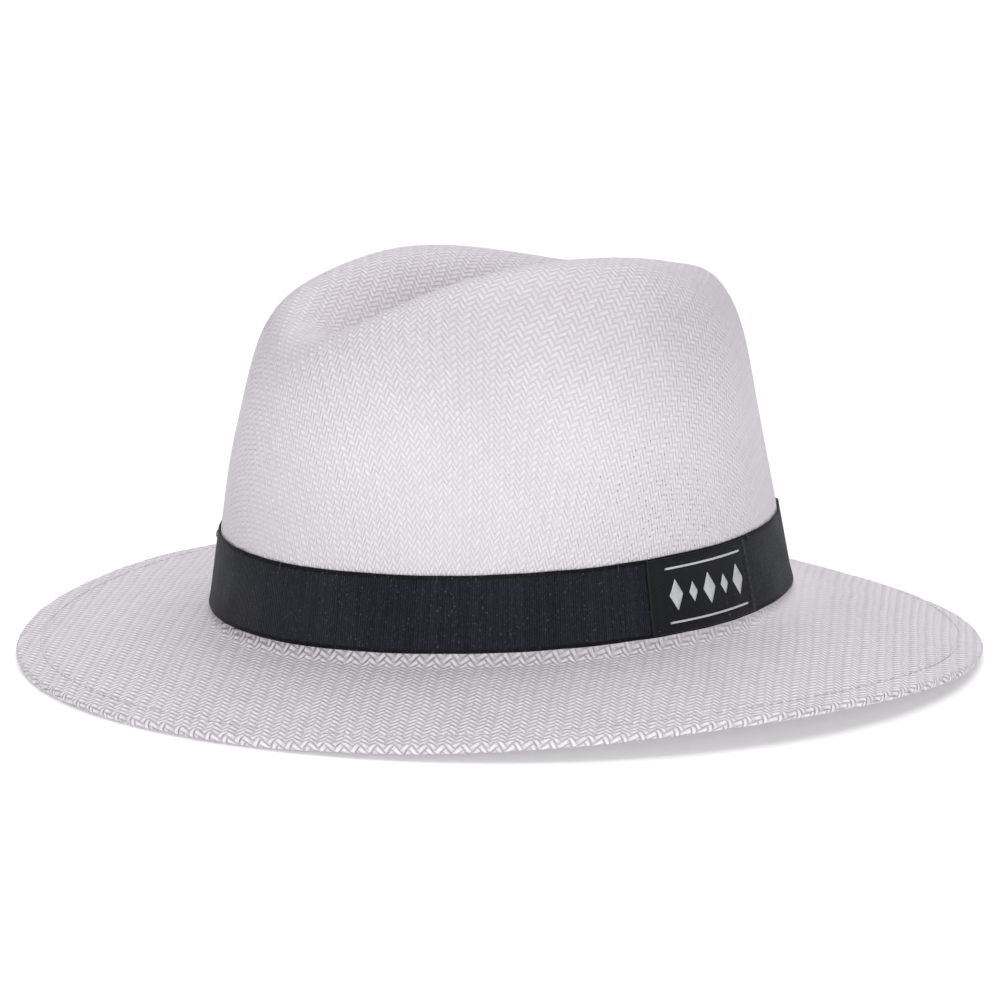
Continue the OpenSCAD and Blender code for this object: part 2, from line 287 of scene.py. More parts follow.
def sweep(columns, marks, round_trip, lengths):
    """Points, faces and UVs of closed outlines joined side by side.

    columns holds one outline after another, marks the UV height of each outline point,
    and lengths how far along the cloth each column is. Without a round trip both ends
    are closed with a cap."""
    count = len(marks)
    points = [p for column in columns for p in column]
    faces, uvs = [], []
    last = len(columns) if round_trip else len(columns) - 1
    for c in range(last):
        a, b = c * count, (c + 1) % len(columns) * count
        for r in range(count):
            s = (r + 1) % count
            faces.append((a + r, b + r, b + s, a + s))
            left, right = lengths[c], lengths[c + 1]
            uvs.append(((left, marks[r]), (right, marks[r]), (right, marks[s]), (left, marks[s])))
    if not round_trip:
        for c, order in ((0, range(count)), (last, reversed(range(count)))):
            order = list(order)
            faces.append(tuple(c * count + r for r in order))
            uvs.append(tuple((lengths[c], marks[r]) for r in order))
    return points, faces, uvs


def band_outline(low, high, near, far, step=2.5, rounding=0.3):
    """Closed outline of a flat band as (height, distance from the wall) pairs."""
    count = max(2, round((high - low - 2 * rounding) / step))
    rows = [low + rounding + (high - low - 2 * rounding) * i / count for i in range(count + 1)]
    middle = (near + far) / 2
    outline = [(low, near + 0.3 * (far - near)), (low, far - 0.3 * (far - near))]
    outline += [(z, far) for z in rows]
    outline += [(high, far - 0.3 * (far - near)), (high, near + 0.3 * (far - near))]
    outline += [(z, near) for z in reversed(rows)]
    print("band", low, "to", high, "mm, middle", round(middle, 2), "mm from the wall")
    return outline


def band_piece(name, start, stop, count, outline, finish, shape=None):
    """A cloth band along the crown's wall between two angles, in degrees."""
    material, slot, replaced = finish
    round_trip = stop - start >= 360
    columns, lengths, walked = [], [], 0
    before = None
    for c in range(count + 1):
        phi = math.radians(start + (stop - start) * c / count)
        here = wall_point(phi, 15, 0)
        walked += (here - before).length if before else 0
        before = here
        lengths.append(walked)
        column = []
        for z, off in outline:
            change = shape(phi, z, off) if shape else (0, 0)
            column.append(settle(wall_point(phi, z + change[0], off + change[1])))
        columns.append(column)
    if round_trip:
        columns.pop()
    marks = [z for z, _ in outline]
    points, faces, uvs = sweep(columns, marks, round_trip, lengths)
    print(name, "is", round(walked), "mm long")
    return make_piece(name, points, faces, uvs, material, slot, replaced)


# %% [markdown]
# ## Writing materials as sums
#
# Blender's materials are nodes and wires. Long sums drawn as wires are hard to read, so
# a small class stands for one output of a node and turns `a * b + 1` into Math nodes.
# Everything else goes through one `add` method: the node's type, its settings, then
# the numbers or wires of its sockets.

# %% A class for shader sums
class Output:
    """One output of a node, which can be added, multiplied and compared."""

    def __init__(self, recipe, socket):
        self.recipe = recipe
        self.socket = socket

    def math(self, operation, *terms):
        return self.recipe.add("Math", {"operation": operation}, dict(enumerate(terms)))

    def __add__(self, other):
        return self.math("ADD", self, other)

    def __sub__(self, other):
        return self.math("SUBTRACT", self, other)

    def __rsub__(self, other):
        return self.math("SUBTRACT", other, self)

    def __mul__(self, other):
        return self.math("MULTIPLY", self, other)

    def __truediv__(self, other):
        return self.math("DIVIDE", self, other)

    def __pow__(self, other):
        return self.math("POWER", self, other)

    def __mod__(self, other):
        return self.math("FLOORED_MODULO", self, other)

    def __lt__(self, other):
        return self.math("LESS_THAN", self, other)

    def __gt__(self, other):
        return self.math("GREATER_THAN", self, other)

    def floor(self):
        return self.math("FLOOR", self)

    def sine(self):
        return self.math("SINE", self)

    def abs(self):
        return self.math("ABSOLUTE", self)

    def root(self):
        return self.math("SQRT", self)

    __radd__ = __add__
    __rmul__ = __mul__


class Recipe:
    """A material that is filled with nodes one by one."""

    def __init__(self, name):
        self.material = bpy.data.materials.new(name)
        self.material.use_nodes = True
        self.tree = self.material.node_tree
        self.tree.nodes.clear()

    def add(self, kind, settings=None, sockets=None, out=0):
        """A new node of that kind. Returns the output asked for."""
        node = self.tree.nodes.new("ShaderNode" + kind)
        for name, value in (settings or {}).items():
            if name == "stops":
                node.color_ramp.elements[0].position = value[0][0]
                node.color_ramp.elements[0].color = value[0][1]
                node.color_ramp.elements[1].position = value[-1][0]
                node.color_ramp.elements[1].color = value[-1][1]
                for place, colour in value[1:-1]:
                    node.color_ramp.elements.new(place).color = colour
            else:
                setattr(node, name, value)
        for name, value in (sockets or {}).items():
            if isinstance(value, Output):
                self.tree.links.new(value.socket, node.inputs[name])
            else:
                node.inputs[name].default_value = value
        return Output(self, node.outputs[out])

    def cloth_place(self):
        """The two numbers of the piece's own UV."""
        pair = self.add("UVMap", {"uv_map": "strands"})
        along = self.add("SeparateXYZ", sockets={0: pair}, out=0)
        across_it = self.add("SeparateXYZ", sockets={0: pair}, out=1)
        return along, across_it

    def object_place(self):
        return self.add("TexCoord", out=3)

    def noise(self, place, scale, detail=2.0, roughness=0.5):
        """A soft noise from 0 to 1 at that many waves to the metre."""
        sockets = {"Vector": place, "Scale": scale, "Detail": detail, "Roughness": roughness}
        return self.add("TexNoise", sockets=sockets)

    def scatter(self, first, second, third=0.0):
        """A number from 0 to 1 that is different for each set of whole numbers."""
        cell = self.add("CombineXYZ", sockets={0: first, 1: second, 2: third})
        return self.add("TexWhiteNoise", {"noise_dimensions": "3D"}, {"Vector": cell})

    def ramp(self, value, stops):
        """A grey or coloured ramp. Returns its colour."""
        return self.add("ValToRGB", {"stops": stops}, {0: value})

    def blend(self, low_colour, high_colour, amount):
        """Mixes two colours by an amount from 0 to 1."""
        return self.add("Mix", {"data_type": "RGBA"}, {0: amount, 6: low_colour, 7: high_colour}, out=2)

    def limit(self, value, low, high, new_low=0.0, new_high=1.0):
        """Stretches low to high over new_low to new_high, without going past them."""
        sockets = {0: value, 1: low, 2: high, 3: new_low, 4: new_high}
        return self.add("MapRange", {"interpolation_type": "SMOOTHSTEP"}, sockets)

    def finish(self, colour, rough, height, relief, plain=None):
        """The surface itself. relief is how high the height's 0 to 1 stands, in metres."""
        bump = self.add("Bump", sockets={"Height": height, "Distance": relief, "Strength": 1.0})
        sockets = {"Base Color": colour, "Roughness": rough, "Normal": bump}
        surface = self.add("BsdfPrincipled", sockets={**sockets, **(plain or {})})
        self.add_surface(surface)
        print("material", self.material.name, "has", len(self.tree.nodes), "nodes")
        return self.material

    def add_surface(self, surface):
        end = self.tree.nodes.new("ShaderNodeOutputMaterial")
        self.tree.links.new(surface.socket, end.inputs["Surface"])


def paint(red, green, blue):
    """A colour given in screen numbers from 0 to 255, as Blender's linear colour."""
    def linear(level):
        level /= 255
        return level / 12.92 if level <= 0.04045 else ((level + 0.055) / 1.055) ** 2.4

    return (linear(red), linear(green), linear(blue), 1.0)


print("mid grey is", round(paint(128, 128, 128)[0], 3), "in linear light")

# %% [markdown]
# ## Straw
#
# The hood is woven from flat, shiny strands in a two-over-two-under twill: each strand
# passes over two and under two, one step further in each row, so the floats line up in
# slanting ridges. We could model every strand, but there are some thirty thousand
# crossings. Instead the UV counts strands, and the sums below find which strand is on
# top, how far across it we are and how far along its float. That gives a height for the
# bump and a painted shade for the groove between two strands, darker on the brim.

# %% Straw material
def straw_finish():
    straw = Recipe("straw")
    p, q = straw.cloth_place()
    strand, row = p.floor(), q.floor()
    in_strand, in_row = p - strand, q - row
    step = (strand + row) % 4
    on_top = step < 1.5
    across_strand = on_top * in_strand + (1 - on_top) * in_row
    along_float = on_top * (step + in_row) / 2 + (1 - on_top) * (step - 2 + in_strand) / 2
    arch = (along_float * math.pi).sine()
    rounded = across_strand * (1 - across_strand) * 4
    height = straw.limit(rounded, 0, 1.0) * (0.3 + 0.7 * straw.limit(arch, 0, 1.0))

    which = on_top * strand + (1 - on_top) * row
    group = ((strand + row) / 4).floor()
    strand_tone = straw.scatter(which, on_top)
    float_tone = straw.scatter(which, group, on_top)
    fibre_place = straw.add("CombineXYZ", sockets={
        0: across_strand * 9,
        1: along_float * 1.3,
        2: which,
    })
    fibres = straw.add("TexNoise", sockets={"Vector": fibre_place, "Scale": 1.0, "Detail": 1.0})
    place = straw.object_place()
    patches = straw.noise(place, 45.0)
    above_table = straw.add("SeparateXYZ", sockets={0: place}, out=2)
    # The brim's zone: there the grooves get more painted shade and the bump stands higher.
    brim = straw.limit(above_table, 0.0165, 0.0205, 1.0, 0.0)

    # Painted shade and light: strands and grooves are painted darker towards the top of the crown, where the crease
    # lies in shade, and lighter low down, where the brim throws light up.
    painted_top_shade = straw.limit(above_table, 0.075, 0.125)
    tone = 0.5 * strand_tone + 0.5 * float_tone
    low_lit_strands = straw.blend(paint(240, 235, 241), paint(247, 243, 248), tone)
    top_shaded_strands = straw.blend(paint(224, 217, 225), paint(234, 228, 235), tone)
    light = straw.blend(low_lit_strands, top_shaded_strands, painted_top_shade)
    low_groove_shade = straw.blend(paint(231, 223, 230), paint(238, 231, 237), patches)
    soft_shade = straw.blend(low_groove_shade, straw.blend(paint(208, 199, 207), paint(219, 211, 218), patches), painted_top_shade)
    # Painted shade: the grooves between strands are painted darker than the strands, and darker still on the brim,
    # standing in for the shadow the strands cast on each other where the brim is seen at a grazing angle.
    brim_shade = straw.blend(paint(190, 181, 189), paint(218, 210, 217), patches)
    shade = straw.blend(soft_shade, brim_shade, brim)
    woven = straw.blend(shade, light, straw.limit(height, 0.0, 0.55))

    from_corner = (in_strand * in_strand + in_row * in_row).root()
    spot = straw.limit(from_corner, 0.2, 0.42, 1.0, 0.0)
    from_patch = straw.add("VectorMath", {"operation": "DISTANCE"}, {0: place, 1: (0.091, 0.004, 0.064)}, out=1)
    loose = straw.limit(from_patch, 0.008, 0.036, 0.22, 0.0)
    pinhole = spot * (straw.scatter(strand, row, 5.0) < loose)
    colour = straw.blend(woven, paint(112, 104, 110), 0.9 * pinhole)
    rough = straw.limit(float_tone + 0.4 * fibres, 0, 1.4, 0.36, 0.58)
    relief = (height + 0.10 * float_tone) * (0.45 + 0.55 * brim) + 0.05 * fibres
    return straw.finish(colour, rough, relief, 0.0007, {"Specular IOR Level": 0.42})


straw_material = straw_finish()

# %% [markdown]
# ## The woven hood
#
# The hood is one closed skin: down from the top over the outside, out along the brim,
# round the wire, and back underneath and up inside. A Solidify modifier would thicken a
# single sheet, but not turn its edge round the wire. So we write the outer rows, work
# out which way each point faces, and step inwards by the thickness of the straw.

# %% Rows of the outer skin
AROUND = 320
TOP_ROWS, WALL_ROWS, FOOT_ROWS, BRIM_ROWS = 71, 32, 6, 22
BRIM_ROW = TOP_ROWS + WALL_ROWS + FOOT_ROWS
STRAND = 1.95
TURNS = [2 * math.pi * k / AROUND for k in range(AROUND)]


def spaced(first, last, count):
    """count numbers from first up to, but not reaching, last."""
    return [first + (last - first) * i / count for i in range(count)]


def outer_rows():
    """Rows of points from just below the top to the start of the turned edge."""
    even = [math.pi / 2 * (t - 0.11 * math.sin(2 * math.pi * t)) for t in spaced(0.99, 0, TOP_ROWS)]
    rows = [[shoulder_point(phi, a) for phi in TURNS] for a in even]
    rows += [[crown_point(phi, 1, z) for phi in TURNS] for z in spaced(SHOULDER_H, FOOT_R, WALL_ROWS)]
    rows += [[foot_point(phi, a) for phi in TURNS] for a in spaced(0, math.pi / 2, FOOT_ROWS)]
    hem_start = 1 - 11.5 / (BRIM_WID - ROLL_R - FOOT_R)
    rows += [[brim_point(phi, u) for phi in TURNS] for u in spaced(0, hem_start, BRIM_ROWS)]
    return rows


def step_in(rows, depth):
    """The same rows moved inwards, square to the skin."""
    moved = []
    for r, row in enumerate(rows):
        above = rows[max(r - 1, 0)]
        below = rows[min(r + 1, len(rows) - 1)]
        line = []
        for k, p in enumerate(row):
            round_it = row[(k + 1) % AROUND] - row[k - 1]
            down_it = below[k] - above[k]
            line.append(p - down_it.cross(round_it).normalized() * depth)
        moved.append(line)
    return moved


outside = outer_rows()
inside = step_in(outside, MAT_T)
print(len(outside), "rows outside, first point", [round(v, 1) for v in outside[0][0]])

# %% [markdown]
# ### The turned edge
#
# At the edge the straw is folded back over a wire and sewn down. The outline below is
# that fold cut across, drawn in the edge's own frame: out over the top, round the roll,
# back to the end of the fold, and into the slit and the channel that holds the wire.

# %% Outline of the turned edge
def arc(radius, first, last, step):
    count = round(abs(last - first) / step)
    angles = [math.radians(first + (last - first) * i / count) for i in range(count + 1)]
    return [(radius * math.cos(t), radius * math.sin(t)) for t in angles]


fold_outline = [(-9.5, HEM_TOP), (-7.8, HEM_TOP), (-7, HEM_TOP - 0.22), (-6.2, HEM_TOP)]
fold_outline += [(-4.6, HEM_TOP), (-3.2, HEM_TOP), (-2.0, HEM_TOP + 0.02)]
fold_outline += arc(ROLL_R, 112, -112, 16)
fold_outline += [(-2.0, -HEM_TOP), (-3.6, -HEM_TOP), (-5.2, -HEM_TOP), (-6.4, -HEM_TOP)]
fold_outline += [(-7, 0.2 - HEM_TOP), (-7.8, -HEM_TOP), (0.6 - HEM_WID, -HEM_TOP)]
fold_outline += [(0.15 - HEM_WID, -0.75 * HEM_TOP), (-HEM_WID, -HEM_TOP / 2)]
fold_outline += [(0.6 - HEM_WID, -SLIT), (-2.2, -SLIT)]
fold_outline += arc(CHANNEL_R, 200, 520, 40)
fold_outline += [(-2.2, SLIT), (-9.5, SLIT)]


def pucker(phi, o):
    """How much the stitched fold gathers, in millimetres."""
    wave = noise.noise(Vector((math.sin(phi) * 19, math.cos(phi) * 19, 3 + o * 0.12)))
    fine = noise.noise(Vector((math.sin(phi) * 55, math.cos(phi) * 55, 9 + o * 0.3)))
    return 0.22 * wave + 0.12 * fine


def fold_rows():
    rows = []
    for o, h in fold_outline:
        hidden = math.hypot(o, h) < 1.1 or abs(h) < 0.5
        row = []
        for phi in TURNS:
            swell = 0 if hidden else pucker(phi, o)
            size = math.hypot(o, h) if o > -2 else abs(h)
            push_o = o * swell / size if o > -2 else 0
            push_h = h * swell / size
            row.append(hem_point(phi, o + push_o, h + push_h))
        rows.append(row)
    return rows


edge = fold_rows()
fold_walk = [-9.5]
for before, after in zip(fold_outline, fold_outline[1:]):
    fold_walk.append(fold_walk[-1] + math.dist(before, after))
print("straw in the fold:", round(fold_walk[-1] - fold_walk[0], 1), "mm")

# %% [markdown]
# ### Strand counts for the hood
#
# On the crown the strands run down from the top, so the count follows the length walked
# from the top. On the brim they lie in straight lines across the plan, as they left the
# loom. The two meet behind the ribbon, where nobody sees the change.

# %% Strand counts
def crown_counts(phi, walked):
    rho = walked / 0.85 / STRAND
    return rho * math.sin(phi), -rho * math.cos(phi)


def brim_counts(plan):
    return plan.x / 0.95 / STRAND, plan.y / 0.95 / STRAND


def foot_plan(r, k):
    """Where a point of the bend at the foot would lie if the brim ran on level inwards."""
    if r >= BRIM_ROW:
        return outside[r][k]
    return outside[BRIM_ROW][k] - outward(TURNS[k]) * (walked[BRIM_ROW][k] - walked[r][k])


def loosen(pair, amount=0.32):
    """Strands wander a little, since a hood is woven by hand."""
    drift = noise.noise_vector(Vector((pair[0], pair[1], 0)) / 11) * amount
    return pair[0] + drift.x, pair[1] + drift.y


def walked_rows(rows):
    """For each point, the length of skin from the top down to it."""
    walked = [[p.to_2d().length for p in rows[0]]]
    for above, below in zip(rows, rows[1:]):
        walked.append([w + (b - a).length for w, a, b in zip(walked[-1], above, below)])
    return walked


CHANGE_Z = 10
walked = walked_rows(outside)
change_row = next(r for r, row in enumerate(outside) if row[0].z < CHANGE_Z and r > TOP_ROWS)
crown_uv = [[loosen(crown_counts(phi, w)) for phi, w in zip(TURNS, line)] for line in walked]
brim_uv = [
    [loosen(brim_counts(foot_plan(r, k))) for k in range(AROUND)] for r in range(len(outside))
]
edge_uv = [[loosen(brim_counts(hem_point(phi, o, 0))) for phi in TURNS] for o in fold_walk]
print("the count changes at row", change_row, "of", len(outside))


# %% Build the hood
def hood_piece():
    """Outer rows, the fold, then the inner rows backwards, closed at both tops."""
    rows = outside + edge + inside[::-1]
    reach = len(outside)
    under = reach + len(edge)
    points = [settle(p) for row in rows for p in row]
    faces, uvs = [], []

    def counts(row, k, crown_side):
        if row < reach:
            return (crown_uv if crown_side else brim_uv)[row][k]
        if row < under:
            return edge_uv[row - reach][k]
        source = len(rows) - 1 - row
        pair = (crown_uv if crown_side else brim_uv)[source][k]
        return pair[0] + 2, pair[1]

    for r in range(len(rows) - 1):
        source = r if r < reach else len(rows) - 2 - r
        crown_side = (r < change_row) if r < reach else (r >= under and source < change_row)
        last_fold = r == under - 1
        for k in range(AROUND):
            n = (k + 1) % AROUND
            corners = ((r, k), (r, n), (r + 1, n), (r + 1, k))
            faces.append(tuple(a * AROUND + b for a, b in corners))
            if last_fold:
                uvs.append(tuple(counts(r + 1, b, False) for _, b in corners))
            else:
                uvs.append(tuple(counts(a, b, crown_side) for a, b in corners))

    for row, order in ((0, 1), (len(rows) - 1, -1)):
        middle = sum(rows[row], Vector()) / AROUND
        points.append(settle(middle))
        for k in range(AROUND):
            n = (k + 1) % AROUND
            ends = (k, n)[::-order]
            faces.append((len(points) - 1, row * AROUND + ends[0], row * AROUND + ends[1]))
            shift = 2 if row else 0
            uvs.append(((shift, 0), counts(row, ends[0], True), counts(row, ends[1], True)))
    return make_piece("woven_hood", points, faces, uvs, straw_material, "straw", ["woven_body"])


hood = hood_piece()

# %% [markdown]
# ## Sewing threads
#
# Short stitches hold the fold, the patch and the sweatband. A long tube with a dashed
# texture would show the same dashes, but no thread would dive into the cloth. Each stitch
# is a short tube instead, with its two ends bent in, and all stitches of one seam are
# one piece.

# %% Thread tubes
SIDES = 6


def thread_tube(path, radius, seed=0):
    """Points, faces and UVs of a tube of thread along a few points, in millimetres."""
    points, faces, uvs = [], [], []
    for n, p in enumerate(path):
        ahead = path[min(n + 1, len(path) - 1)] - path[max(n - 1, 0)]
        ahead.normalize()
        side = ahead.cross(Vector((0.31, 0.12, 0.94))).normalized()
        up = side.cross(ahead)
        size = radius * (0.62 if n in (0, len(path) - 1) else 1)
        for s in range(SIDES):
            t = 2 * math.pi * s / SIDES
            points.append(settle(p + (side * math.cos(t) + up * math.sin(t)) * size))
    for n in range(len(path) - 1):
        for s in range(SIDES):
            t = (s + 1) % SIDES
            a, b = n * SIDES, (n + 1) * SIDES
            faces.append((a + s, a + t, b + t, b + s))
            low, high = n + seed * 17, n + 1 + seed * 17
            uvs.append(((low, s), (low, s + 1), (high, s + 1), (high, s)))
    last = (len(path) - 1) * SIDES
    faces.append(tuple(reversed(range(SIDES))))
    faces.append(tuple(last + s for s in range(SIDES)))
    uvs.append(tuple((seed * 17, s) for s in reversed(range(SIDES))))
    uvs.append(tuple((seed * 17, s) for s in range(SIDES)))
    return points, faces, uvs


def thread_piece(name, paths, radius, finish):
    """All stitches of one seam as one piece."""
    points, faces, uvs = [], [], []
    for number, path in enumerate(paths):
        more_points, more_faces, more_uvs = thread_tube(path, radius, number)
        faces += [tuple(v + len(points) for v in face) for face in more_faces]
        points += more_points
        uvs += more_uvs
    material, slot, replaced = finish
    return make_piece(name, points, faces, uvs, material, slot, replaced)


def thread_finish(name, dark, light):
    """Twisted thread: slanting plies, lighter on their crowns."""
    thread = Recipe(name)
    along, round_it = thread.cloth_place()
    ply = ((along * 1.5 + round_it / SIDES * 2) * math.pi).sine().abs()
    fuzz = thread.noise(thread.object_place(), 1900.0, 3.0)
    number = (along / 17).floor()
    tone = thread.scatter(number, 4.0)
    colour = thread.blend(dark, light, 0.55 * ply + 0.25 * fuzz + 0.2 * tone)
    rough = thread.limit(fuzz, 0.2, 0.8, 0.55, 0.8)
    return thread.finish(colour, rough, ply + 0.4 * fuzz, 0.00008, {"Sheen Weight": 0.15})


hem_thread = thread_finish("hem_thread", paint(205, 200, 208), paint(248, 246, 249))
light_thread = thread_finish("light_thread", paint(190, 186, 190), paint(240, 238, 240))
dark_thread = thread_finish("dark_thread", paint(16, 16, 24), paint(54, 56, 68))

# %% [markdown]
# ### Stitches of the brim's fold
#
# One row of machine stitching runs right round, seven millimetres in from the edge, and
# shows on both faces. We step round the brim by equal lengths, so the stitches keep one
# length where the oval is tight and where it is flat.

# %% Hem stitching
STITCH_IN, THREAD_R = 7, 0.22
STITCH_LONG, STITCH_GAP = 3.0, 0.9


def even_angles(point_at, spacing):
    """Angles round the head that lie about one spacing apart along a line."""
    fine = 1440
    total, lengths = 0, [0]
    for k in range(fine):
        a, b = (point_at(2 * math.pi * n / fine) for n in (k, k + 1))
        total += (b - a).length
        lengths.append(total)
    count = round(total / spacing)
    angles, k = [], 0
    for n in range(count):
        wanted = total * n / count
        while lengths[k + 1] < wanted:
            k += 1
        part = (wanted - lengths[k]) / (lengths[k + 1] - lengths[k])
        angles.append(2 * math.pi * (k + part) / fine)
    print(count, "stitches of", round(total / count, 2), "mm in", round(total), "mm")
    return angles


def stitch_paths(point_at, spacing, gap):
    """point_at(phi, lift) gives the seam's line; each stitch dives at both ends."""
    angles = even_angles(lambda phi: point_at(phi, 0), spacing)
    paths = []
    for n, phi in enumerate(angles):
        long = (angles[n + 1] if n + 1 < len(angles) else 2 * math.pi) - phi
        start = phi + long * gap / spacing
        uneven = 0.04 * noise.noise(Vector((phi * 40, spacing, 0)))
        parts = ((0, -0.34), (0.1, 0.0), (0.35, 0.10), (0.65, 0.10), (0.9, 0.0), (1, -0.34))
        paths.append([point_at(start + (phi + long - start) * t, d + uneven) for t, d in parts])
    return paths


spacing = STITCH_LONG + STITCH_GAP
top_seam = stitch_paths(lambda phi, up: hem_point(phi, -STITCH_IN, HEM_TOP + up), spacing, STITCH_GAP)
low_seam = stitch_paths(lambda phi, up: hem_point(phi, -STITCH_IN, -HEM_TOP - up), spacing, STITCH_GAP)
thread_piece("hem_stitching_rows", top_seam + low_seam, THREAD_R, (hem_thread, "hem_thread", ["hem_stitching"]))

# %% [markdown]
# ## The ribbon
#
# The band is grosgrain: a stiff black ribbon whose thick crosswise cords make fine
# upright ribs, with two smooth selvedges. It is drawn tight round the foot of the crown.
# A flat cylinder would look like plastic, so the band follows the crown's own wall,
# flares a little where the brim bends away, and carries shallow waves.

# %% Ribbon
RIBBON_H, RIBBON_Z, RIBBON_T, GAP = 24.8, 4, 0.6, 0.2


def ribbon_shape(phi, z, off):
    """Small shifts in height and distance that make the band look pulled on by hand."""
    if off < GAP + 0.1:
        return 0, 0
    low = max(0, 1 - (z - RIBBON_Z) / 5)
    wave = noise.noise(Vector((math.sin(phi) * 6, math.cos(phi) * 6, z / 16)))
    edge_wave = noise.noise(Vector((math.sin(phi) * 9, math.cos(phi) * 9, 5)))
    return 0.15 * edge_wave, 0.28 * low * low + 0.12 * (wave + 0.5)


def ribbon_finish():
    ribbon = Recipe("ribbon")
    along, up = ribbon.cloth_place()
    pitch = 0.78
    cord = ((along * (2 * math.pi / pitch)).sine() + 1) / 2
    number = (along / pitch).floor()
    cord_tone = ribbon.scatter(number, 1.0)
    from_edge = (up - (RIBBON_Z + RIBBON_H / 2)).abs()
    selvedge = ribbon.limit(from_edge, RIBBON_H / 2 - 1.5, RIBBON_H / 2 - 1.1)
    selvedge_weave = ((up * (2 * math.pi / 0.5)).sine() + 1) / 2
    place = ribbon.object_place()
    rubbed = ribbon.noise(place, 30.0, 3.0)
    fuzz = ribbon.noise(place, 900.0, 3.0)
    lint = ribbon.limit(ribbon.noise(place, 1500.0, 1.0), 0.62, 0.80)
    speck = ribbon.limit(fuzz, 0.35, 0.65)
    body = ribbon.blend(paint(4, 5, 10), paint(46, 48, 60), 0.35 * cord + 0.25 * cord_tone + 0.25 * rubbed + 0.2 * speck - 0.05)
    cloth = ribbon.blend(body, paint(9, 9, 14), 0.75 * selvedge)
    colour = ribbon.blend(cloth, paint(120, 120, 134), 0.4 * lint)
    rough = ribbon.limit(rubbed, 0.3, 0.7, 0.62, 0.46)
    height = (1 - selvedge) * cord + selvedge * (0.4 * selvedge_weave + 0.55) + 0.16 * fuzz + 0.4 * lint
    plain = {"Sheen Weight": 0.03, "Sheen Roughness": 0.4, "Specular IOR Level": 0.14}
    return ribbon.finish(colour, rough, height, 0.00016, plain)


ribbon_outline = band_outline(RIBBON_Z, RIBBON_Z + RIBBON_H, GAP, GAP + RIBBON_T)
ribbon_material = ribbon_finish()
ribbon = band_piece(
    "ribbon", 84, 444, 360, ribbon_outline, (ribbon_material, "ribbon", ["ribbon_band"]), ribbon_shape
)

# %% [markdown]
# ### Tacks
#
# A few hand stitches catch the ribbon's upper edge, so it doesn't slide up. Each is a
# short upright thread over the edge.

# %% Ribbon tacks
TACKS, TACK_LONG = 10, 2.2


def upright_stitch(phi, middle, long, off):
    """A stitch that runs up the wall and dives in at both ends."""
    parts = ((-0.5, -0.5), (-0.42, 0.0), (-0.2, 0.12), (0.2, 0.12), (0.42, 0.0), (0.5, -0.5))
    return [wall_point(phi + 0.0015 * t, middle + t * long, off + d) for t, d in parts]


tack_z = RIBBON_Z + RIBBON_H - 1.2
tack_off = GAP + RIBBON_T + THREAD_R + 0.1
tack_angles = [2 * math.pi * (n + 0.2) / TACKS for n in range(TACKS)]
tacks = [upright_stitch(phi, tack_z, TACK_LONG, tack_off) for phi in tack_angles]
thread_piece("ribbon_tack_threads", tacks, THREAD_R, (dark_thread, "dark_thread", ["ribbon_tacks"]))

# %% [markdown]
# ## The patch
#
# On the wearer's left a smooth black patch covers the ribbon's join. It is folded under at
# its front edge and sewn down at its rear. Its woven mark is a plain row of diamonds
# between two lines, a generic pattern. The pattern is raised, as a damask label's is,
# and lies on the patch as its own piece.

# %% Patch
PATCH_FROM, PATCH_TO, PATCH_H = 85.9, 113.2, 23.8
PATCH_Z = RIBBON_Z + (RIBBON_H - PATCH_H) / 2
FOLD_TO = 87.5


def patch_shape(phi, z, off):
    """The patch swells over its front fold and pulls in at the sewn edge."""
    degrees = math.degrees(phi)
    fold = 0.3 * smooth((FOLD_TO + 0.7 - degrees) / 1.4)
    pull = -0.14 * math.exp(-(((degrees - PATCH_TO + 0.9) / 0.5) ** 2))
    swell = 0.1 * noise.noise(Vector((degrees / 6, z / 8, 2)))
    return 0, (fold + pull + swell) if off > 1.2 else 0


def satin_finish(name, dark, light, thread_mm, relief):
    """Smooth woven satin: long floats one way, fine weft lines the other."""
    satin = Recipe(name)
    along, up = satin.cloth_place()
    weft = ((up * (2 * math.pi / thread_mm)).sine() + 1) / 2
    warp = ((along * (2 * math.pi / (thread_mm * 1.4))).sine() + 1) / 2
    place = satin.object_place()
    rubbed = satin.noise(place, 55.0, 3.0)
    fuzz = satin.noise(place, 1100.0, 2.0)
    lint = satin.limit(satin.noise(place, 700.0, 1.0), 0.75, 0.8)
    body = satin.blend(dark, light, 0.3 * weft + 0.12 * warp + 0.3 * rubbed + 0.2 * fuzz)
    colour = satin.blend(body, paint(150, 152, 162), 0.35 * lint)
    rough = satin.limit(rubbed, 0.3, 0.7, 0.5, 0.38)
    plain = {"Sheen Weight": 0.02, "Specular IOR Level": 0.25}
    return satin.finish(colour, rough, 0.7 * weft + 0.3 * warp + 0.2 * fuzz, relief, plain)


patch_material = satin_finish("patch", paint(9, 10, 15), paint(26, 28, 37), 0.42, 0.00007)
patch_outline = band_outline(PATCH_Z, PATCH_Z + PATCH_H, 0.9, 1.4, 2.2, 0.25)
patch = band_piece(
    "patch", PATCH_FROM - 0.6, PATCH_TO, 56, patch_outline, (patch_material, "patch", ["side_patch"]), patch_shape
)

# %% Patch pattern
BORDER_FROM, BORDER_TO, LINE_H = 89.5, 110.8, 0.7
PATTERN_NEAR, PATTERN_FAR = 1.42, 1.64
DIAMONDS = 5


def pattern_column(phi, spans, reach):
    return [settle(wall_point(phi, z, off)) for z, off in spans(reach)]


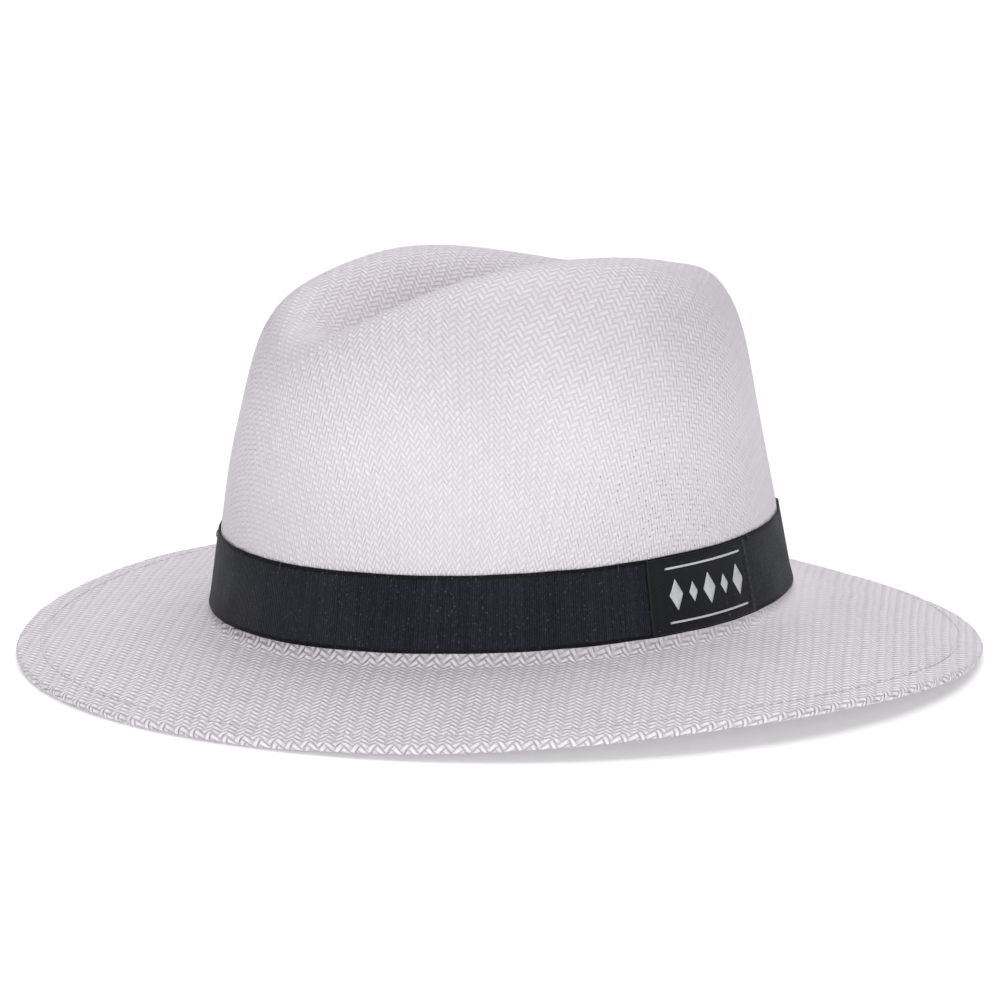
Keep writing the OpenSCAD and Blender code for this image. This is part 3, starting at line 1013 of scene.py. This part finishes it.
def raised_shape(outline_at, first, last, count):
    """A low raised figure between two angles. outline_at gives its lower and upper edge."""
    points, faces, uvs = [], [], []
    across_mm = 1.55
    for c in range(count + 1):
        t = c / count
        phi = math.radians(first + (last - first) * t)
        low_z, high_z = outline_at(t)
        inset = min(0.12, (high_z - low_z) / 3)
        rows = (
            (low_z, PATTERN_NEAR), (low_z + inset, PATTERN_FAR),
            ((low_z + high_z) / 2, PATTERN_FAR + 0.03),
            (high_z - inset, PATTERN_FAR), (high_z, PATTERN_NEAR),
        )
        ends = c in (0, count)
        for z, off in rows:
            points.append(settle(wall_point(phi, z, PATTERN_NEAR if ends else off)))
    for c in range(count):
        for r in range(5):
            s = (r + 1) % 5
            a, b = c * 5, (c + 1) * 5
            faces.append((a + r, b + r, b + s, a + s))
            uvs.append(tuple(
                ((first + (last - first) * (c + e) / count) * across_mm, outline_at((c + e) / count)[w])
                for e, w in ((0, r > 2), (1, r > 2), (1, s > 2), (0, s > 2))
            ))
    for c, order in ((0, range(5)), (count, range(4, -1, -1))):
        faces.append(tuple(c * 5 + r for r in order))
        uvs.append(tuple((first * across_mm, r) for r in order))
    return points, faces, uvs


def diamond_edge(middle, half):
    def edges(t):
        open_part = max(0.02, 1 - abs(2 * t - 1))
        return middle - half * open_part, middle + half * open_part

    return edges


def line_edge(z):
    return lambda t: (z, z + LINE_H)


def pattern_piece(finish):
    figures = [
        (line_edge(PATCH_Z + 3), BORDER_FROM, BORDER_TO, 40),
        (line_edge(PATCH_Z + PATCH_H - 3 - LINE_H), BORDER_FROM, BORDER_TO, 40),
    ]
    middle = PATCH_Z + PATCH_H / 2
    step = (BORDER_TO - BORDER_FROM) / DIAMONDS
    for n in range(DIAMONDS):
        half = (5, 3.2)[n % 2]
        centre = BORDER_FROM + (n + 0.5) * step
        half_turn = math.degrees(half * 0.52 / 92)
        figures.append((diamond_edge(middle, half), centre - half_turn, centre + half_turn, 12))
    points, faces, uvs = [], [], []
    for figure in figures:
        more_points, more_faces, more_uvs = raised_shape(*figure)
        faces += [tuple(v + len(points) for v in face) for face in more_faces]
        points += more_points
        uvs += more_uvs
    material, slot, replaced = finish
    return make_piece("patch_diamonds", points, faces, uvs, material, slot, replaced)


patch_thread = satin_finish("patch_thread", paint(196, 198, 204), paint(246, 246, 248), 0.36, 0.00008)
pattern_piece((patch_thread, "patch_thread", ["patch_pattern"]))

# %% Patch stitching
SEAM_ANGLE, SEAM_STITCHES = math.radians(112.3), 8
seam_step = PATCH_H / SEAM_STITCHES
seam = [
    upright_stitch(SEAM_ANGLE, PATCH_Z + (n + 0.5) * seam_step, seam_step * 0.72, 1.4 + THREAD_R - 0.06)
    for n in range(SEAM_STITCHES)
]
thread_piece("patch_stitches", seam, THREAD_R, (dark_thread, "dark_thread", ["patch_stitching"]))

# %% [markdown]
# ## Inside the crown
#
# A cotton sweatband lines the foot of the crown. It is ribbed like the ribbon, edged with
# piping and sewn at top and bottom, and its ends meet under a piece of tape at the back.
# The two small tags are blank satin. None of it shows from outside, but a hat is turned
# over and looked into, so it gets the same care.

# %% Sweatband
SWEAT_H, SWEAT_Z, SWEAT_T = 30, 2.5, 1.4


def sweat_shape(phi, z, off):
    """The free upper edge stands away from the straw here and there."""
    if off > -SWEAT_T - 0.3:
        return 0, 0
    top = smooth((z - SWEAT_Z - 12) / 18)
    wave = noise.noise(Vector((math.sin(phi) * 3, math.cos(phi) * 3, 7)))
    pull = 0.12 * math.exp(-(((z - SWEAT_Z - 2) / 0.8) ** 2))
    return 0, pull - top * 0.5 * (wave + 0.6)


def ribbed_finish(name, dark, light, pitch):
    ribbed = Recipe(name)
    along, up = ribbed.cloth_place()
    cord = ((along * (2 * math.pi / pitch)).sine() + 1) / 2
    weft = ((up * (2 * math.pi / 0.6)).sine() + 1) / 2
    place = ribbed.object_place()
    stain = ribbed.noise(place, 25.0, 3.0)
    fuzz = ribbed.noise(place, 1000.0, 3.0)
    tone = ribbed.scatter((along / pitch).floor(), 2.0)
    colour = ribbed.blend(dark, light, 0.5 * cord + 0.2 * tone + 0.3 * stain + 0.15 * fuzz)
    rough = ribbed.limit(stain, 0.3, 0.7, 0.9, 0.75)
    height = 0.8 * cord + 0.2 * weft + 0.3 * fuzz
    return ribbed.finish(colour, rough, height, 0.00014, {"Sheen Weight": 0.2})


sweat_cloth = ribbed_finish("sweat_cloth", paint(190, 186, 182), paint(235, 232, 228), 0.9)
sweat_outline = band_outline(SWEAT_Z, SWEAT_Z + SWEAT_H, -SWEAT_T, -2 * SWEAT_T, 2.5, 0.4)
sweatband = band_piece(
    "sweatband_cloth", 180, 540, 300, sweat_outline, (sweat_cloth, "sweat_cloth", ["sweatband"]), sweat_shape
)

# %% Piping and stitching of the sweatband
PIPING_R, PIPING_Z = 0.9, 1.5


def piping_piece(finish):
    middle_off = -1.5 * SWEAT_T
    ring = [(PIPING_R * math.cos(t), PIPING_R * math.sin(t)) for t in spaced(0, 2 * math.pi, 10)]
    outline = [(PIPING_Z + b, middle_off + a) for a, b in ring]
    return band_piece("sweatband_cord", 180, 540, 300, outline, finish)


piping_cloth = ribbed_finish("piping_cloth", paint(176, 172, 168), paint(226, 223, 219), 1.3)
piping_piece((piping_cloth, "piping_cloth", ["sweatband_piping"]))


def sweat_seam(z):
    off = -2 * SWEAT_T - THREAD_R + 0.05
    return stitch_paths(lambda phi, up: wall_point(phi, z, off - up), 3.4, 0.8)


band_seams = sweat_seam(SWEAT_Z + 2) + sweat_seam(SWEAT_Z + SWEAT_H - 2)
thread_piece(
    "sweatband_stitches", band_seams, THREAD_R, (light_thread, "light_thread", ["sweatband_stitching"])
)

# %% Join tape and blank tags
SWEAT_IN, TAG_T = -2 * SWEAT_T, 0.4


def tag_shape(start, stop, low, high, lift):
    """A tag is sewn along its top and lifts off the band towards its free end."""
    def shape(phi, z, off):
        degrees = math.degrees(phi)
        free = smooth((high - z) / (high - low))
        across_it = (degrees - start) / (stop - start) * 2 - 1
        return 0, -lift * free * free - 0.25 * free * across_it * across_it

    return shape


label_satin = satin_finish("label_satin", paint(206, 204, 202), paint(246, 245, 243), 0.4, 0.00005)
join_tape = ribbed_finish("join_tape", paint(170, 162, 150), paint(214, 206, 194), 0.7)


def tag_piece(name, start, stop, low, high, far, lift, finish):
    outline = band_outline(low, high, far, far - TAG_T, 2.0, 0.15)
    return band_piece(name, start, stop, 16, outline, finish, tag_shape(start, stop, low, high, lift))


tag_low = SWEAT_Z + 3
tag_top = SWEAT_IN - 0.1
over_stitches = SWEAT_IN - 3 * THREAD_R
tag_piece("sweatband_join_tape", 177.2, 182.8, tag_low, SWEAT_Z + SWEAT_H - 3, tag_top, 0,
          (join_tape, "join_tape", ["sweatband_join"]))
size_tag = tag_piece("size_tag_satin", 166, 173, tag_low, SWEAT_Z + 15, tag_top, 0.5,
                     (label_satin, "label_satin", ["size_tag"]))
care_tag = tag_piece("care_tag_satin", 190, 202, tag_low, SWEAT_Z + 38, over_stitches, 1.2,
                     (label_satin, "label_satin", ["care_tag"]))

# %% [markdown]
# ## The wire in the edge
#
# A thin steel wire keeps the brim's curve, and a short sleeve joins its two ends at the
# back. Their CAD shapes are right as they are, so they only get a better surface: drawn
# steel with fine scratches, and a crimped sleeve with a duller skin.

# %% Wire and sleeve
def drawn_metal(name, dark, light, low_rough, high_rough, scratches):
    metal = Recipe(name)
    place = metal.object_place()
    spots = metal.noise(place, 400.0, 3.0)
    fine = metal.noise(place, scratches, 2.0)
    colour = metal.blend(dark, light, 0.6 * spots + 0.4 * fine)
    rough = metal.limit(fine + 0.3 * spots, 0.2, 1.0, low_rough, high_rough)
    return metal.finish(colour, rough, fine, 0.00001, {"Metallic": 1.0})


def repaint(node, material):
    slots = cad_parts[node].material_slots
    for place in slots:
        place.material = material
    print(node, "has", len(slots), "material slots")


repaint("brim_wire", drawn_metal("wire", paint(120, 120, 124), paint(182, 182, 186), 0.25, 0.5, 2600.0))
repaint("wire_sleeve", drawn_metal("sleeve", paint(96, 96, 100), paint(150, 150, 154), 0.4, 0.7, 1500.0))

# %% [markdown]
# ## Floor and light
#
# The hat stands on a pale floor under soft studio light. A dark room with one lamp would
# show the weave, but would also throw a hard shadow. A white room lights it from all
# round, one large panel near the camera gives the crown its gentle rounding, and a soft sun lights it from above.

# %% Floor
def floor_finish():
    pale = Recipe("floor_paper")
    grain = pale.noise(pale.object_place(), 60.0, 3.0)
    colour = pale.blend(paint(250, 250, 251), paint(254, 254, 254), grain)
    rough = pale.limit(grain, 0.3, 0.7, 0.8, 0.9)
    glow = {"Emission Color": paint(255, 255, 255), "Emission Strength": 0.2}
    return pale.finish(colour, rough, grain, 0.00002, glow)


FLOOR_HALF = 30
floor_mesh = bpy.data.meshes.new("floor")
corners = [(x * FLOOR_HALF, y * FLOOR_HALF, -0.0002) for x, y in ((-1, -1), (1, -1), (1, 1), (-1, 1))]
floor_mesh.from_pydata(corners, [], [(0, 1, 2, 3)])
floor_mesh.materials.append(floor_finish())
floor = bpy.data.objects.new("floor", floor_mesh)
bpy.context.scene.collection.objects.link(floor)

# %% Lights
def panel(name, azimuth, elevation, distance, size, power, tint=(1, 1, 1)):
    """A square soft panel that faces the middle of the hat."""
    a, e = math.radians(azimuth), math.radians(elevation)
    way = Vector((math.sin(a) * math.cos(e), -math.cos(a) * math.cos(e), math.sin(e)))
    light = bpy.data.lights.new(name, "AREA")
    light.shape = "SQUARE"
    light.size = size
    light.energy = power
    light.color = tint
    lamp = bpy.data.objects.new(name, light)
    lamp.location = Vector((0, 0, 0.06)) + way * distance
    lamp.rotation_mode = "QUATERNION"
    lamp.rotation_quaternion = way.to_track_quat("Z", "Y")
    bpy.context.scene.collection.objects.link(lamp)
    print(name, "at", [round(v, 2) for v in lamp.location], power, "W")


panel("front_panel", 54, 10, 2.4, 1.0, 18)

ceiling = bpy.data.lights.new("ceiling", "SUN")
ceiling.energy = 1.65
ceiling.angle = math.radians(70)
ceiling_lamp = bpy.data.objects.new("ceiling", ceiling)
ceiling_lamp.rotation_euler = (math.radians(-16), 0, math.radians(50))
bpy.context.scene.collection.objects.link(ceiling_lamp)

room = bpy.data.worlds.new("white_room")
room.use_nodes = True
room_nodes = room.node_tree.nodes
background = room_nodes["Background"]
way_out = room_nodes.new("ShaderNodeTexCoord")
to_side = room_nodes.new("ShaderNodeVectorMath")
to_side.operation = "DOT_PRODUCT"
to_side.inputs[1].default_value = (math.cos(math.radians(50)), math.sin(math.radians(50)), 0)
dimming = room_nodes.new("ShaderNodeMapRange")
sides = room_nodes.new("ShaderNodeMath")
sides.operation = "ABSOLUTE"
for name, value in zip(("From Min", "From Max", "To Min", "To Max"), (0.12, 0.80, 0.66, 0.05)):
    dimming.inputs[name].default_value = value
for start, end in (
    (way_out.outputs["Generated"], to_side.inputs[0]),
    (to_side.outputs["Value"], sides.inputs[0]),
    (sides.outputs[0], dimming.inputs["Value"]),
    (dimming.outputs["Result"], background.inputs["Strength"]),
):
    room.node_tree.links.new(start, end)
background.inputs["Color"].default_value = (1, 1, 1, 1)
bpy.context.scene.world = room
bpy.context.scene.view_settings.view_transform = "Standard"
